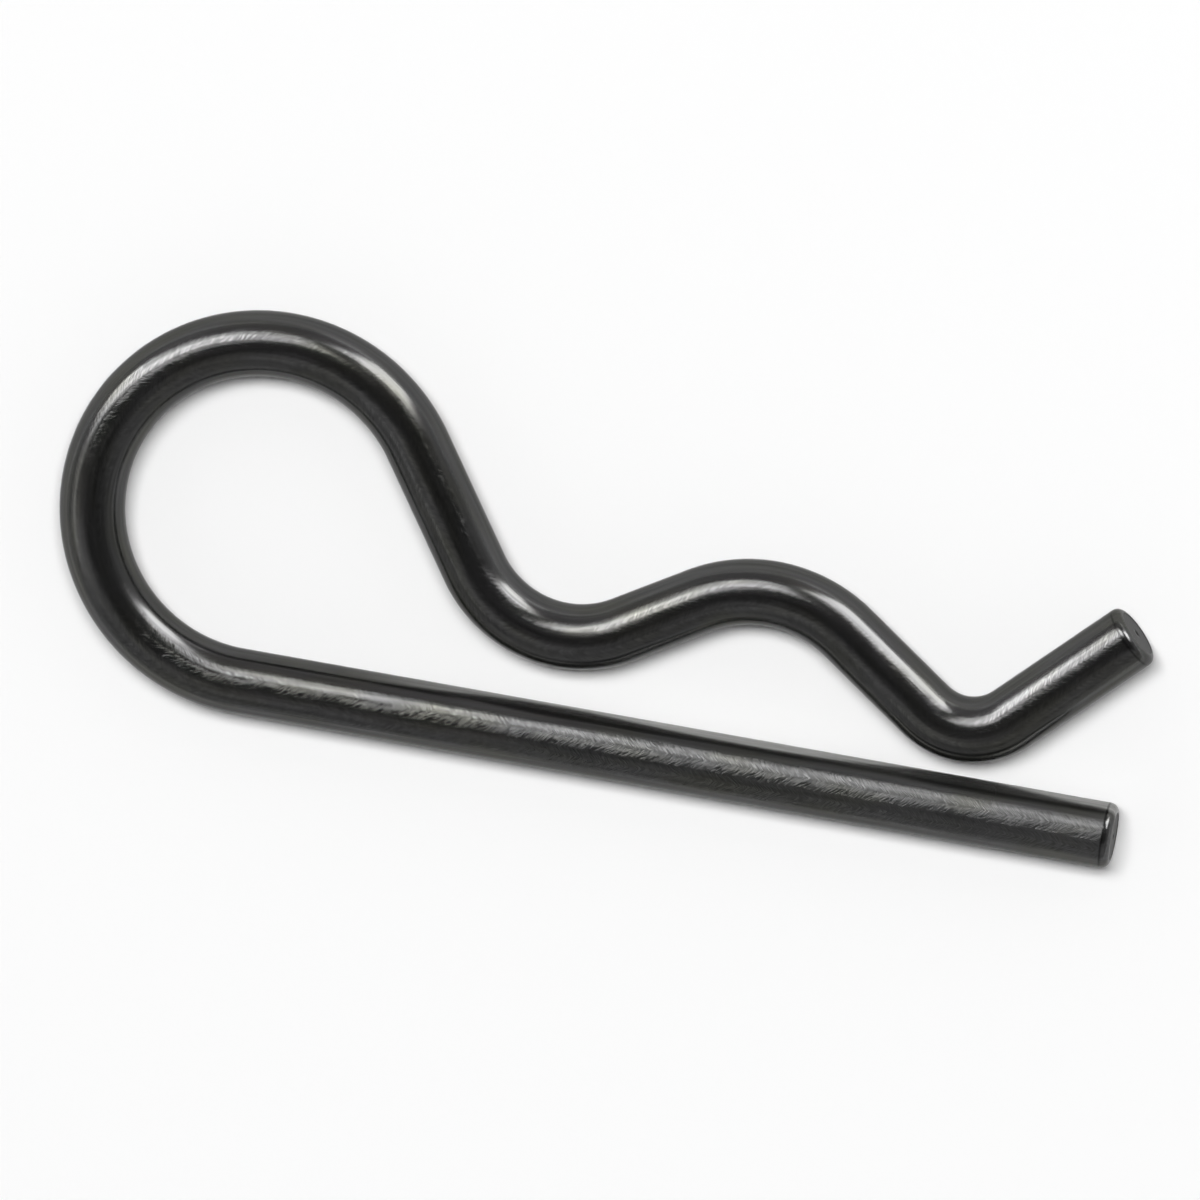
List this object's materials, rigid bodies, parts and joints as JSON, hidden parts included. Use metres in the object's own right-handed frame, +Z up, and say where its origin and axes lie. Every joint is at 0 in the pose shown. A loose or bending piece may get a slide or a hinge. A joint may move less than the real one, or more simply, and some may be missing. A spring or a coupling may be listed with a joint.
{
  "type": "hitch r clip pin",
  "caption": "Bent wire spring clip: a straight leg for a cross hole, a round eye, and a wavy leg that snaps over the outside of a hitch pin.",
  "frame": {"origin": "the point where the hitch pin's axis crosses the axis of the straight leg, under the crest of the hump", "axes": "+X along the straight leg to its free end, +Y from the straight leg to the wavy leg, +Z up, square to the plane of the clip as it lies flat"},
  "size_m": [0.0675, 0.025, 0.004],
  "materials": {
    "spring_wire": "black oxide on drawn spring steel wire, oiled, semi-gloss"
  },
  "bodies": {
    "root": {"clip": "spring_wire"}
  },
  "joints": []
}
